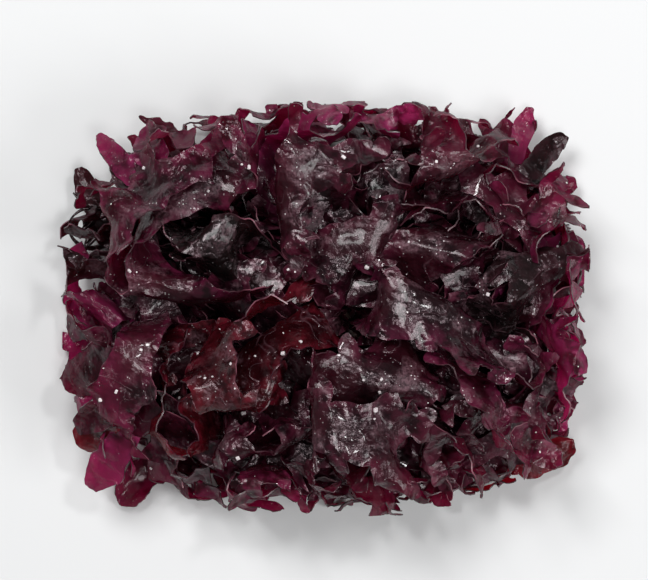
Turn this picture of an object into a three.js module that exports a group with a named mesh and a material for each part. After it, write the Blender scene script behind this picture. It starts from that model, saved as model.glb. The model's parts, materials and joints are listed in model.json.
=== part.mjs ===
// Dulse: one whole tuft of the red seaweed, as picked and lightly salted, lying in the low heap that it
// slumps into. Millimetres, +Z up. The origin is on the ground under the middle of the heap, and +X runs
// along its long side.
//
// A small button, the holdfast, sits under the middle. The fronds grow from it on short stalks, widen, fork
// twice and end in pointed lobes, with small leaflets on their margins. Each frond starts as a flat sheet of
// triangles cut to that outline. The sheets are furled and stood round the holdfast, and are then let down:
// they open, bend, fold and come to rest on each other inside the heap's rounded outline. Last, each sheet
// gets its thickness and becomes one closed solid.
import * as THREE from 'three';

// Driving dimensions
const HEAP = { length: 119, depth: 92, height: 36, squareness: 3 }; // squareness 2 is an ellipse
const MARGINS_STAND_OUT = 11; // how far lobes may reach past the body of the heap
const BLADE_THICKNESS = 0.7;
const FROND_COUNT = 22;
const FROND_LENGTH = { shortest: 62, longest: 118 };
const BLADE_HALF_WIDTH = { narrow: 7.5, wide: 11 }; // at the first fork
const STALK_HALF_WIDTH = 1.9;
const TIP_HALF_WIDTH = 0.8;
const LEAFLET = { spacing: 12, length: 9, halfWidth: 3.2, sunk: 1 }; // sunk is how deep its root sits
const HOLDFAST = { radius: 7, middle: 1.5, x: 6, y: -4 }; // a ball cut off flat, its middle above the ground
const ROOT_GAP = 0.35; // between a stalk's end and the holdfast
const SEED = 14;

// How a frond forks: angles are in degrees, lengths are shares of the frond's, half widths of the blade's
const BLADE_REACH = 0.36; // from the stalk to the first fork
const FIRST_FORK = { spread: [22, 34], reach: [0.28, 0.36], start: 0.74, end: 0.6, threefold: 0.35 };
const LAST_FORK = { spread: [15, 28], reach: [0.24, 0.36], start: 0.56, threefold: 0 };
const LOBE_WANDER = 7;
const LEAFLET_LEAN = [35, 70];
const LEAFLET_REACH = [0.7, 1.3];

// How the sheets are cut
const STEP = 3.7; // side of a triangle
const LOBES_APART = 2 * STEP; // nearer the outline than this, a new lobe is left out
const CUT_OUTSIDE = 0.3 * STEP; // how far outside the outline the lattice is kept
const RIM_MOVE = 0.4 * STEP; // how far a point on the rim may be moved to the outline
const LEAST_TRIANGLE = 1.3; // twice the area that such a move leaves a triangle, as a share of a full one's
const TIP_DRAW = 0.4 * STEP; // how far a point on the rim is drawn out to make a lobe's tip
const TIP_NEAR = 2.6 * STEP; // how near the lobe's end that point has to be
const SMALLEST_MOVE = 0.05;
const UNEVEN = { size: 0.8, from: 20, across: 2.1, along: 2.6, swayAcross: 9, swayAlong: 7 }; // outline

// How they stand before they are let down
const SINE_OF_RISE = { lowest: 0.12, highest: 0.985 }; // even steps spread the fronds evenly over a ball
const SLIMMEST_FURL = 0.2; // sine of the half angle of a furled sheet's cone
const WIDEST_FURL_TURN = 3; // how far round its cone a furled sheet's margin may go, in radians
const HELD_LENGTH = 2.3 * STEP; // of a stalk, from its end

// How they are let down
const SPREAD = { length: 230, depth: 230, height: 125 }; // the room that they are let down from
const RAGGED = 0.07; // share by which the outline of the heap's body comes and goes
const BAYS = [{ count: 5, depth: 0.3, lean: 7 }, { count: 9, depth: 0.2, lean: -5 }]; // in that outline
const CONTACT = 1.12 * STEP; // how near points of two sheets, or of one folded sheet, may come
const FOLDED_CONTACT = 0.8; // the same for near points of one sheet, as a share of their distance when flat
const MARGIN_GROWTH = 0.12; // a margin is this much longer than lies flat, which ruffles it
const MARGIN_WIDTH = 1.8 * STEP;
const LOBE_EDGE = 1.6 * STEP; // how wide a margin may stand out of the heap's body
const FOLD = { pull: 0.03, lastPull: 0.15, leastAcross: 0.76, leastAlong: 0.72 }; // least: shares of length
const LEAST_SIDE = 0.97; // share of its length that a triangle's side keeps at least
const STRAIGHT = 1.85 * STEP; // two neighbours of a point lie opposite each other if further apart than this
const LETTING_DOWN = { gathered: 700, freed: 850, still: 1050, done: 1150, passes: 7 }; // in steps
const GRAVITY = 0.012;
const DRAG = 0.955;
const STIR = { push: 0.012, steps: [60, 70, 50], pitch: [14, 14, 16] }; // a slow swell along x, y and z
const LONGEST_MOVE = 0.6; // in one step
const PAIRS_EVERY = 2; // steps
const GROUND_GAP = 0.02;
const EASING = { sharp: 0.55, share: 0.5, rounds: 14 }; // creases that turn further than sharp are eased

// How fine the holdfast is
const HOLDFAST_SIDES = 28;
const HOLDFAST_RINGS = 8;

/** A repeatable source of numbers from 0 to 1. */
function seeded(seed) {
  let state = seed >>> 0;
  return () => {
    state = (state + 0x6d2b79f5) >>> 0;
    let mixed = Math.imul(state ^ (state >>> 15), 1 | state);
    mixed = (mixed + Math.imul(mixed ^ (mixed >>> 7), 61 | mixed)) ^ mixed;
    return ((mixed ^ (mixed >>> 14)) >>> 0) / 4294967296;
  };
}

const between = (random, low, high) => low + (high - low) * random();
const degrees = THREE.MathUtils.degToRad;
const GOLDEN_ANGLE = Math.PI * (3 - Math.sqrt(5));

// The outline of a frond, flat, growing along +y from its stalk at the origin

/** A straight tapered stretch of blade, as wide as its half widths at its two ends. */
const limb = (x, y, heading, reach, startHalf, endHalf) => ({
  x, y, startHalf, endHalf, reach,
  dx: Math.sin(heading), dy: Math.cos(heading), heading,
  endX: x + reach * Math.sin(heading), endY: y + reach * Math.cos(heading),
});

/** The limbs of one frond: a widening blade, then forks that end in pointed lobes, with leaflets on them. */
function growLimbs(random, length, halfWidth) {
  const limbs = [];
  const clearOf = (grown, host) => {
    const others = limbs.filter((l) => l !== host && Math.hypot(l.x - host.x, l.y - host.y) > LEAFLET.sunk);
    return depthInside(others, grown.endX, grown.endY) < -LOBES_APART;
  };
  const addLeaflets = (host) => {
    for (let along = LEAFLET.spacing * random(); along < host.reach; along += LEAFLET.spacing) {
      const side = random() < 0.5 ? -1 : 1;
      const half = host.startHalf + (host.endHalf - host.startHalf) * (along / host.reach);
      const heading = host.heading + side * degrees(between(random, ...LEAFLET_LEAN));
      const x = host.x + host.dx * along + side * host.dy * (half - LEAFLET.sunk);
      const y = host.y + host.dy * along - side * host.dx * (half - LEAFLET.sunk);
      const reach = LEAFLET.length * between(random, ...LEAFLET_REACH);
      const leaflet = limb(x, y, heading, reach, LEAFLET.halfWidth, TIP_HALF_WIDTH);
      if (clearOf(leaflet, host)) limbs.push(leaflet);
    }
  };
  const fork = (from, way) => {
    const count = way.threefold && random() < way.threefold ? 3 : 2;
    const spread = degrees(between(random, ...way.spread));
    for (let i = 0; i < count; i++) {
      const wander = degrees(between(random, -LOBE_WANDER, LOBE_WANDER));
      const lean = (count === 2 ? 2 * i - 1 : i - 1) * spread + wander;
      const reach = length * between(random, ...way.reach);
      const end = way === LAST_FORK ? TIP_HALF_WIDTH : halfWidth * way.end;
      const grown = limb(from.endX, from.endY, from.heading + lean, reach, halfWidth * way.start, end);
      if (!clearOf(grown, from)) continue;
      limbs.push(grown);
      if (way === FIRST_FORK) fork(grown, LAST_FORK);
      addLeaflets(grown);
    }
  };
  const blade = limb(0, 0, 0, length * BLADE_REACH, STALK_HALF_WIDTH, halfWidth);
  limbs.push(blade);
  fork(blade, FIRST_FORK);
  return limbs;
}

/** How far a point lies inside the limbs' outline, negative outside it. */
function depthInside(limbs, x, y) {
  let deepest = -Infinity;
  for (const l of limbs) {
    const along = THREE.MathUtils.clamp((x - l.x) * l.dx + (y - l.y) * l.dy, 0, l.reach);
    const half = l.startHalf + (l.endHalf - l.startHalf) * (along / l.reach);
    const away = Math.hypot(x - l.x - along * l.dx, y - l.y - along * l.dy);
    deepest = Math.max(deepest, half - away);
  }
  return deepest;
}

/** The same for the blade's own outline, which is uneven, as if nibbled and torn. */
function depthInBlade(limbs, x, y) {
  const across = Math.sin(x / UNEVEN.across + 3 * Math.sin(y / UNEVEN.swayAcross));
  const along = Math.sin(y / UNEVEN.along + 2 * Math.sin(x / UNEVEN.swayAlong));
  return depthInside(limbs, x, y) + Math.min(1, y / UNEVEN.from) * UNEVEN.size * across * along;
}

// A flat sheet of near-equal triangles cut to an outline

const MOST_POINTS = 65536;
const pairKey = (a, b) => (a < b ? a * MOST_POINTS + b : b * MOST_POINTS + a);

/** Splits items into groups, where related pairs of items belong together. */
function grouped(items, related) {
  const groups = [];
  const waiting = new Set(items);
  while (waiting.size) {
    const group = [waiting.values().next().value];
    waiting.delete(group[0]);
    for (const member of group) {
      for (const other of related(member)) {
        if (waiting.delete(other)) group.push(other);
      }
    }
    groups.push(group);
  }
  return groups.sort((a, b) => b.length - a.length);
}

/** The numbers of the one or two triangles on each edge. */
function neighboursByEdge(triangles) {
  const byEdge = new Map();
  triangles.forEach((t, index) => {
    for (let k = 0; k < 3; k++) {
      const key = pairKey(t[k], t[(k + 1) % 3]);
      if (!byEdge.has(key)) byEdge.set(key, []);
      byEdge.get(key).push(index);
    }
  });
  return byEdge;
}

/** Keeps the largest piece whose triangles join edge to edge, with no two parts meeting in a single point. */
function keepOneSheet(triangles) {
  let kept = triangles;
  for (;;) {
    const byEdge = neighboursByEdge(kept);
    const touching = (index) => {
      const t = kept[index];
      return [0, 1, 2].flatMap((k) => byEdge.get(pairKey(t[k], t[(k + 1) % 3])));
    };
    const largest = grouped(kept.keys(), touching)[0];
    const dropped = new Set([...kept.keys()].filter((index) => !largest.includes(index)));
    const fans = new Map();
    for (const index of largest) {
      for (const point of kept[index]) {
        if (!fans.has(point)) fans.set(point, []);
        fans.get(point).push(index);
      }
    }
    for (const [point, fan] of fans) {
      const around = (index) => {
        const t = kept[index];
        const at = t.indexOf(point);
        const sides = [t[(at + 1) % 3], t[(at + 2) % 3]];
        return sides.flatMap((side) => byEdge.get(pairKey(point, side)));
      };
      for (const loose of grouped(fan, around).slice(1)) loose.forEach((index) => dropped.add(index));
    }
    if (!dropped.size) return kept;
    kept = kept.filter((_, index) => !dropped.has(index));
  }
}

/** Cuts a sheet to the limbs' outline: its flat points, its triangles, and how deep inside its points lie. */
function cutSheet(limbs) {
  const columnStep = STEP * Math.sqrt(3) / 2;
  const reachX = Math.max(...limbs.map((l) => Math.abs(l.endX))) + 2 * STEP;
  const reachY = Math.max(...limbs.map((l) => l.endY)) + 2 * STEP;
  const columns = 2 * Math.ceil(reachX / columnStep) + 2;
  const rows = Math.ceil(reachY / STEP) + 2;
  const flat = (i, j) => [(i - columns / 2 + 0.5) * columnStep, (j + (i % 2) / 2) * STEP];
  const used = (i, j) => depthInBlade(limbs, ...flat(i, j)) > -CUT_OUTSIDE;
  const id = (i, j) => i * rows + j;
  const candidates = [];
  for (let i = 0; i < columns - 1; i++) {
    for (let j = 1; j < rows - 1; j++) {
      const odd = i % 2;
      const lower = [i + 1, j - 1 + odd];
      const upper = [i + 1, j + odd];
      for (const corners of [[[i, j], lower, upper], [[i, j], upper, [i, j + 1]]]) {
        if (!corners.every(([a, b]) => used(a, b))) continue;
        candidates.push(corners.map(([a, b]) => id(a, b)));
      }
    }
  }
  const triangles = keepOneSheet(candidates);
  const order = new Map();
  for (const corner of triangles.flat()) {
    if (!order.has(corner)) order.set(corner, order.size);
  }
  const points = [...order.keys()].map((key) => flat(Math.floor(key / rows), key % rows));
  const numbered = triangles.map((t) => t.map((corner) => order.get(corner)));
  smoothRim(limbs, points, numbered);
  drawTips(limbs, points, numbered);
  return { points, triangles: numbered, depth: points.map(([x, y]) => depthInside(limbs, x, y)) };
}

/** The edges with a triangle on one side only, each running the way its triangle does. */
function rimEdges(triangles) {
  const byEdge = neighboursByEdge(triangles);
  const rim = [];
  for (const t of triangles) {
    for (let k = 0; k < 3; k++) {
      const [a, b] = [t[k], t[(k + 1) % 3]];
      if (byEdge.get(pairKey(a, b)).length === 1) rim.push([a, b]);
    }
  }
  return rim;
}

/** Moves the points on the sheet's rim to the outline, as far as that keeps their triangles well shaped. */
function smoothRim(limbs, points, triangles) {
  const onRim = new Set(rimEdges(triangles).flat());
  const fullArea = STEP * STEP * Math.sqrt(3) / 4;
  const wellShaped = (index) => triangles.every((t) => {
    if (!t.includes(index)) return true;
    const [a, b, c] = t.map((corner) => points[corner]);
    return (b[0] - a[0]) * (c[1] - a[1]) - (b[1] - a[1]) * (c[0] - a[0]) > LEAST_TRIANGLE * fullArea;
  });
  for (const index of onRim) {
    const [x, y] = points[index];
    if (y < STEP) continue;
    const depth = depthInBlade(limbs, x, y);
    const slopeX = depthInBlade(limbs, x + SMALLEST_MOVE, y) - depthInBlade(limbs, x - SMALLEST_MOVE, y);
    const slopeY = depthInBlade(limbs, x, y + SMALLEST_MOVE) - depthInBlade(limbs, x, y - SMALLEST_MOVE);
    const slope = Math.hypot(slopeX, slopeY) || 1;
    let move = THREE.MathUtils.clamp(-depth, -RIM_MOVE, RIM_MOVE);
    do {
      points[index] = [x + move * slopeX / slope, y + move * slopeY / slope];
      move /= 2;
    } while (Math.abs(move) > SMALLEST_MOVE && !wellShaped(index));
  }
}

/** Draws the rim out to a point at the end of each lobe and leaflet. */
function drawTips(limbs, points, triangles) {
  const onRim = [...new Set(rimEdges(triangles).flat())];
  const drawn = new Set();
  for (const l of limbs.filter((each) => each.endHalf === TIP_HALF_WIDTH)) {
    const away = (index) => Math.hypot(points[index][0] - l.endX, points[index][1] - l.endY);
    const nearest = onRim.reduce((best, index) => (away(index) < away(best) ? index : best));
    const reach = away(nearest);
    if (reach > TIP_NEAR || drawn.has(nearest)) continue;
    drawn.add(nearest);
    const [x, y] = points[nearest];
    const share = Math.min(1, TIP_DRAW / reach);
    points[nearest] = [x + (l.endX - x) * share, y + (l.endY - y) * share];
  }
}

// Standing the sheets round the holdfast

/** Furls a sheet into a slim cone that starts in the holdfast, and stands it up along a heading and rise. */
function standUp(sheet, heading, rise, openTo) {
  const level = new THREE.Vector3(-Math.sin(heading), Math.cos(heading), 0);
  const out = new THREE.Vector3(Math.cos(heading), Math.sin(heading), 0).multiplyScalar(Math.cos(rise));
  out.z = Math.sin(rise);
  const above = new THREE.Vector3().crossVectors(out, level);
  const behind = HOLDFAST.radius + ROOT_GAP - STEP / 2;
  const turnOf = ([x, y]) => Math.atan2(x, y + behind);
  const widest = Math.max(...sheet.points.map((point) => Math.abs(turnOf(point))));
  const slant = Math.asin(Math.max(SLIMMEST_FURL, widest / WIDEST_FURL_TURN));
  sheet.position = sheet.points.map((point) => {
    const far = Math.hypot(point[0], point[1] + behind);
    const round = turnOf(point) / Math.sin(slant) + openTo;
    return new THREE.Vector3(HOLDFAST.x, HOLDFAST.y, HOLDFAST.middle)
      .addScaledVector(out, far * Math.cos(slant))
      .addScaledVector(level, far * Math.sin(slant) * Math.cos(round))
      .addScaledVector(above, far * Math.sin(slant) * Math.sin(round));
  });
}

// Letting the sheets down

/** Everything that the settling works on, as flat lists over all sheets' points. */
function gatherBody(sheets) {
  const count = sheets.reduce((sum, s) => sum + s.points.length, 0);
  const body = {
    count,
    at: new Float64Array(3 * count),
    last: new Float64Array(3 * count),
    flat: new Float64Array(2 * count),
    sheet: new Int32Array(count),
    held: new Uint8Array(count),
    standsOut: new Float64Array(count),
    links: [],
    linked: new Set(),
  };
  let first = 0;
  sheets.forEach((sheet, number) => {
    sheet.first = first;
    sheet.points.forEach(([x, y], i) => {
      const n = first + i;
      sheet.position[i].toArray(body.at, 3 * n);
      body.flat.set([x, y], 2 * n);
      body.sheet[n] = number;
      body.held[n] = y < HELD_LENGTH ? 1 : 0;
      body.standsOut[n] = MARGINS_STAND_OUT * (1 - THREE.MathUtils.smoothstep(sheet.depth[i], 0, LOBE_EDGE));
    });
    addLinks(sheet, first, body.links);
    first += sheet.points.length;
  });
  body.last.set(body.at);
  body.links.forEach((l) => body.linked.add(pairKey(l.a, l.b)));
  return body;
}

/** Links along the triangles' sides, which keep their length, and across them, which only resist a fold. */
function addLinks(sheet, first, links) {
  const growth = (i) => 1 + MARGIN_GROWTH * (1 - THREE.MathUtils.smoothstep(sheet.depth[i], 0, MARGIN_WIDTH));
  const link = (a, b, rest, least, pull) => links.push({ a: first + a, b: first + b, rest, least, pull });
  const flatGap = (i, j) => {
    const [[ax, ay], [bx, by]] = [sheet.points[i], sheet.points[j]];
    return Math.hypot(ax - bx, ay - by);
  };
  const sides = new Map();
  const around = sheet.points.map(() => new Set());
  for (const t of sheet.triangles) {
    for (let k = 0; k < 3; k++) {
      const [a, b, opposite] = [t[k], t[(k + 1) % 3], t[(k + 2) % 3]];
      if (!sides.has(pairKey(a, b))) sides.set(pairKey(a, b), { a, b, opposite: [] });
      sides.get(pairKey(a, b)).opposite.push(opposite);
      around[a].add(b);
      around[b].add(a);
    }
  }
  for (const { a, b, opposite } of sides.values()) {
    const rest = flatGap(a, b) * (growth(a) + growth(b)) / 2;
    link(a, b, rest, rest * LEAST_SIDE, 1);
    if (opposite.length < 2) continue;
    const gap = flatGap(...opposite);
    link(...opposite, gap, FOLD.leastAcross * gap, FOLD.pull);
  }
  for (const nearby of around) {
    const near = [...nearby];
    near.forEach((a, k) => near.slice(k + 1).forEach((b) => {
      const gap = flatGap(a, b);
      if (gap > STRAIGHT) link(a, b, gap, FOLD.leastAlong * gap, FOLD.pull);
    }));
  }
}

/** Moves one point by a share of a vector. */
function shift(at, p, dx, dy, dz, share) {
  at[p] += dx * share;
  at[p + 1] += dy * share;
  at[p + 2] += dz * share;
}

/** Moves the two ends of each link towards its length. */
function drawLinks(body, rest, least, pull, ends) {
  const { at, held } = body;
  for (let l = 0; l < rest.length; l++) {
    const [a, b] = [3 * ends[2 * l], 3 * ends[2 * l + 1]];
    const [dx, dy, dz] = [at[b] - at[a], at[b + 1] - at[a + 1], at[b + 2] - at[a + 2]];
    const gap = Math.sqrt(dx * dx + dy * dy + dz * dz) || 1e-9;
    const short = gap < least[l];
    const wanted = short ? least[l] : rest[l];
    const share = (short ? 1 : pull[l]) * (gap - wanted) / gap;
    const [freeA, freeB] = [held[a / 3] ? 0 : 1, held[b / 3] ? 0 : 1];
    const both = freeA + freeB;
    if (!both) continue;
    const [moveA, moveB] = [share * freeA / both, -share * freeB / both];
    shift(at, a, dx, dy, dz, moveA);
    shift(at, b, dx, dy, dz, moveB);
  }
}

const CELLS_ACROSS = 1024;

/** The pairs of points near enough to meet soon, save those that a link joins, and how near each may come. */
function nearPairs(body, reach) {
  const { at, flat, sheet, linked, count } = body;
  const cells = new Map();
  const cellOf = (n) => [0, 1, 2].map((k) => Math.floor(at[3 * n + k] / reach) + CELLS_ACROSS / 2);
  const keyOf = (x, y, z) => (x * CELLS_ACROSS + y) * CELLS_ACROSS + z;
  const pairs = { ends: [], nearest: [] };
  const consider = (n, m) => {
    const dx = at[3 * n] - at[3 * m];
    const dy = at[3 * n + 1] - at[3 * m + 1];
    const dz = at[3 * n + 2] - at[3 * m + 2];
    if (dx * dx + dy * dy + dz * dz > reach * reach) return;
    let nearest = CONTACT;
    if (sheet[n] === sheet[m]) {
      if (linked.has(pairKey(n, m))) return;
      const flatGap = Math.hypot(flat[2 * n] - flat[2 * m], flat[2 * n + 1] - flat[2 * m + 1]);
      nearest = Math.min(CONTACT, FOLDED_CONTACT * flatGap);
    }
    pairs.ends.push(n, m);
    pairs.nearest.push(nearest);
  };
  for (let n = 0; n < count; n++) {
    const [cx, cy, cz] = cellOf(n);
    for (let x = cx - 1; x <= cx + 1; x++) {
      for (let y = cy - 1; y <= cy + 1; y++) {
        for (let z = cz - 1; z <= cz + 1; z++) {
          for (const m of cells.get(keyOf(x, y, z)) ?? []) consider(n, m);
        }
      }
    }
    const key = keyOf(cx, cy, cz);
    if (!cells.has(key)) cells.set(key, []);
    cells.get(key).push(n);
  }
  return pairs;
}

/** Pushes near points of two sheets, or of one folded sheet, apart to the contact distance. */
function keepApart(body, pairs) {
  const { at, held } = body;
  for (let p = 0; p < pairs.nearest.length; p++) {
    const [a, b] = [3 * pairs.ends[2 * p], 3 * pairs.ends[2 * p + 1]];
    const [dx, dy, dz] = [at[b] - at[a], at[b + 1] - at[a + 1], at[b + 2] - at[a + 2]];
    const square = dx * dx + dy * dy + dz * dz;
    if (square >= pairs.nearest[p] ** 2) continue;
    const gap = Math.sqrt(square) || 1e-9;
    const [freeA, freeB] = [held[a / 3] ? 0 : 1, held[b / 3] ? 0 : 1];
    const both = freeA + freeB;
    if (!both) continue;
    const share = (gap - pairs.nearest[p]) / gap;
    const [moveA, moveB] = [share * freeA / both, -share * freeB / both];
    shift(at, a, dx, dy, dz, moveA);
    shift(at, b, dx, dy, dz, moveB);
  }
}

/** How far the heap's ragged body reaches in a direction and at a height, as a share of its room. */
function bulgeAt(round, height) {
  let inward = 0.5;
  for (const { count, depth, lean } of BAYS) inward += depth * Math.sin(count * round + height / lean);
  return 1 - RAGGED * inward;
}

/** Keeps every free point above the ground, inside the heap's outline, under its lid and off the holdfast. */
function keepInRoom(body, room) {
  const { at, held, standsOut, count } = body;
  const ground = BLADE_THICKNESS / 2 + GROUND_GAP;
  const clear = HOLDFAST.radius + BLADE_THICKNESS + ROOT_GAP;
  for (let n = 0; n < count; n++) {
    if (held[n]) continue;
    const p = 3 * n;
    const bulge = bulgeAt(Math.atan2(at[p + 1], at[p]), at[p + 2]);
    const outX = Math.abs(at[p] / (bulge * room.halfLength + standsOut[n])) ** HEAP.squareness;
    const outY = Math.abs(at[p + 1] / (bulge * room.halfDepth + standsOut[n])) ** HEAP.squareness;
    if (outX + outY > 1) {
      const shrink = (outX + outY) ** (-1 / HEAP.squareness);
      at[p] *= shrink;
      at[p + 1] *= shrink;
    }
    const fx = at[p] - HOLDFAST.x;
    const fy = at[p + 1] - HOLDFAST.y;
    const fz = at[p + 2] - HOLDFAST.middle;
    const fromMiddle = Math.hypot(fx, fy, fz);
    if (fromMiddle < clear) shift(at, p, fx, fy, fz, clear / fromMiddle - 1);
    at[p + 2] = Math.min(Math.max(at[p + 2], ground), room.height);
  }
}

/** The room that the sheets have at a step: wide and high at first, then drawn in to the heap's own size. */
function roomAt(step) {
  const share = THREE.MathUtils.smoothstep(step, 0, LETTING_DOWN.gathered);
  const drawn = (from, to) => from + (to - from) * share;
  return {
    halfLength: drawn(SPREAD.length, HEAP.length) / 2 - MARGINS_STAND_OUT,
    halfDepth: drawn(SPREAD.depth, HEAP.depth) / 2 - MARGINS_STAND_OUT,
    height: step < LETTING_DOWN.freed ? drawn(SPREAD.height, HEAP.height) : SPREAD.height,
  };
}

/** Lets all sheets down together until they lie still. */
function letDown(sheets, random) {
  const body = gatherBody(sheets);
  const rest = Float64Array.from(body.links, (l) => l.rest);
  const least = Float64Array.from(body.links, (l) => l.least);
  const pull = Float64Array.from(body.links, (l) => l.pull);
  const ends = Int32Array.from(body.links.flatMap((l) => [l.a, l.b]));
  const drift = sheets.map(() => [0, 1, 2].map(() => between(random, 0, 2 * Math.PI)));
  const { at, last, held, sheet, count } = body;
  let pairs;
  for (let step = 0; step < LETTING_DOWN.done; step++) {
    const room = roomAt(step);
    const push = step < LETTING_DOWN.gathered ? STIR.push : 0;
    const still = step >= LETTING_DOWN.still;
    for (let n = 0; n < count; n++) {
      if (held[n]) continue;
      for (let k = 0; k < 3; k++) {
        const p = 3 * n + k;
        const place = at[3 * n + (k + 1) % 3] / STIR.pitch[k];
        let move = push * Math.sin(step / STIR.steps[k] + place + drift[sheet[n]][k]);
        if (!still) move += (at[p] - last[p]) * DRAG;
        if (!still && k === 2) move -= GRAVITY;
        last[p] = at[p];
        at[p] += THREE.MathUtils.clamp(move, -LONGEST_MOVE, LONGEST_MOVE);
      }
    }
    if (step === LETTING_DOWN.still) pull.forEach((p, l) => { pull[l] = Math.max(p, FOLD.lastPull); });
    if (step % PAIRS_EVERY === 0) pairs = nearPairs(body, CONTACT + 2 * PAIRS_EVERY * LONGEST_MOVE);
    for (let pass = 0; pass < LETTING_DOWN.passes; pass++) {
      drawLinks(body, rest, least, pull, ends);
      keepApart(body, pairs);
      keepInRoom(body, room);
    }
  }
  for (const s of sheets) {
    s.position = s.points.map((_, i) => new THREE.Vector3().fromArray(at, 3 * (s.first + i)));
    easeCreases(s);
  }
}

/** Moves the points of creases sharper than the blade's thickness allows towards their neighbours. */
function easeCreases(sheet) {
  const around = sheet.points.map(() => new Set());
  for (const [a, b, c] of sheet.triangles) {
    around[a].add(b).add(c);
    around[b].add(c).add(a);
    around[c].add(a).add(b);
  }
  for (let round = 0; round < EASING.rounds; round++) {
    const { faces, normals } = directions(sheet);
    const sharp = new Set();
    sheet.triangles.forEach((t, index) => {
      for (const corner of t) {
        if (faces[index].dot(normals[corner]) < EASING.sharp) sharp.add(corner);
      }
    });
    if (!sharp.size) return;
    for (const point of sharp) {
      if (sheet.points[point][1] < HELD_LENGTH) continue;
      const near = [...around[point]];
      const mean = near.reduce((sum, other) => sum.add(sheet.position[other]), new THREE.Vector3());
      sheet.position[point].lerp(mean.divideScalar(near.length), EASING.share);
    }
  }
}

// Solids

/** The directions that a sheet's triangles face, and the mean of those round each of its points. */
function directions(sheet) {
  const normals = sheet.points.map(() => new THREE.Vector3());
  const faces = sheet.triangles.map((t) => {
    const [a, b, c] = t.map((i) => sheet.position[i]);
    const face = b.clone().sub(a).cross(c.clone().sub(a));
    for (const corner of t) normals[corner].add(face);
    return face.normalize();
  });
  normals.forEach((normal) => normal.normalize());
  return { faces, normals };
}

/** Gives a settled sheet its thickness: a face each side, split alike, and a wall along the rim. */
function thicken(sheet) {
  const { normals } = directions(sheet);
  const count = sheet.points.length;
  const corners = new Float32Array(6 * count);
  sheet.position.forEach((p, i) => {
    const half = normals[i].multiplyScalar(BLADE_THICKNESS / 2);
    p.clone().add(half).toArray(corners, 3 * i);
    p.clone().sub(half).toArray(corners, 3 * (count + i));
  });
  const faces = [];
  for (const [a, b, c] of sheet.triangles) faces.push(a, b, c, count + a, count + c, count + b);
  for (const [a, b] of rimEdges(sheet.triangles)) faces.push(b, a, count + a, b, count + a, count + b);
  return new THREE.BufferGeometry()
    .setAttribute('position', new THREE.BufferAttribute(corners, 3))
    .setIndex(faces);
}

/** The button that the tuft grew on, flat underneath and domed on top. */
function holdfastGeometry() {
  const cut = Math.asin(HOLDFAST.middle / HOLDFAST.radius);
  const rings = [new THREE.Vector2(0, 0)];
  for (let i = 0; i <= HOLDFAST_RINGS; i++) {
    const rise = THREE.MathUtils.lerp(-cut, Math.PI / 2, i / HOLDFAST_RINGS);
    rings.push(new THREE.Vector2(
      i < HOLDFAST_RINGS ? HOLDFAST.radius * Math.cos(rise) : 0,
      i > 0 ? HOLDFAST.middle + HOLDFAST.radius * Math.sin(rise) : 0,
    ));
  }
  return new THREE.LatheGeometry(rings, HOLDFAST_SIDES).rotateX(Math.PI / 2);
}

/** All fronds as settled sheets, the lowest first. */
function settledFronds() {
  const random = seeded(SEED);
  const sheets = [];
  for (let i = 0; i < FROND_COUNT; i++) {
    const share = i / (FROND_COUNT - 1);
    const length = between(random, FROND_LENGTH.shortest, FROND_LENGTH.longest);
    const halfWidth = between(random, BLADE_HALF_WIDTH.narrow, BLADE_HALF_WIDTH.wide);
    const sheet = cutSheet(growLimbs(random, length, halfWidth));
    const heading = i * GOLDEN_ANGLE;
    const rise = Math.asin(THREE.MathUtils.lerp(SINE_OF_RISE.lowest, SINE_OF_RISE.highest, share));
    standUp(sheet, heading, rise, between(random, 0, 2 * Math.PI));
    sheets.push(sheet);
  }
  letDown(sheets, random);
  return sheets;
}

const tuft = new THREE.Group();
const bladeColour = new THREE.Color(0x4a1526);
const hues = [-0.008, -0.004, 0, 0.004, 0.008];
const lights = [0, 0.012, 0.024];
settledFronds().forEach((sheet, i) => {
  const colour = bladeColour.clone().offsetHSL(hues[i % hues.length], 0, lights[i % lights.length]);
  const material = new THREE.MeshStandardMaterial({ color: colour, roughness: 0.35, metalness: 0 });
  const frond = new THREE.Mesh(thicken(sheet), material);
  frond.name = `frond_${String(i + 1).padStart(2, '0')}`;
  tuft.add(frond);
});

const holdfast = new THREE.Mesh(
  holdfastGeometry(),
  new THREE.MeshStandardMaterial({ color: 0x2c1518, roughness: 0.6, metalness: 0 }),
);
holdfast.name = 'holdfast';
holdfast.position.set(HOLDFAST.x, HOLDFAST.y, 0);
tuft.add(holdfast);

const middle = new THREE.Box3().setFromObject(tuft).getCenter(new THREE.Vector3());
tuft.position.set(-middle.x, -middle.y, 0);

export default tuft;
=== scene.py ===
"""Looks of a hand-picked tuft of dulse: wet, thin, forked fronds slumped round one holdfast.

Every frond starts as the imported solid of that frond. One of its two skins is kept, gets small leaflets
along its margin, is made fine, creased and ruffled, and is then given the thickness of a real blade.
Lengths are in metres, as in the frame; +Z is up and the photograph's top edge is towards +Y.
"""

import json
import logging
import math
import random
from dataclasses import dataclass, field
from enum import Enum

import bpy
import numpy as np
from mathutils import Euler, Matrix, Vector
from mathutils.bvhtree import BVHTree

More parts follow.
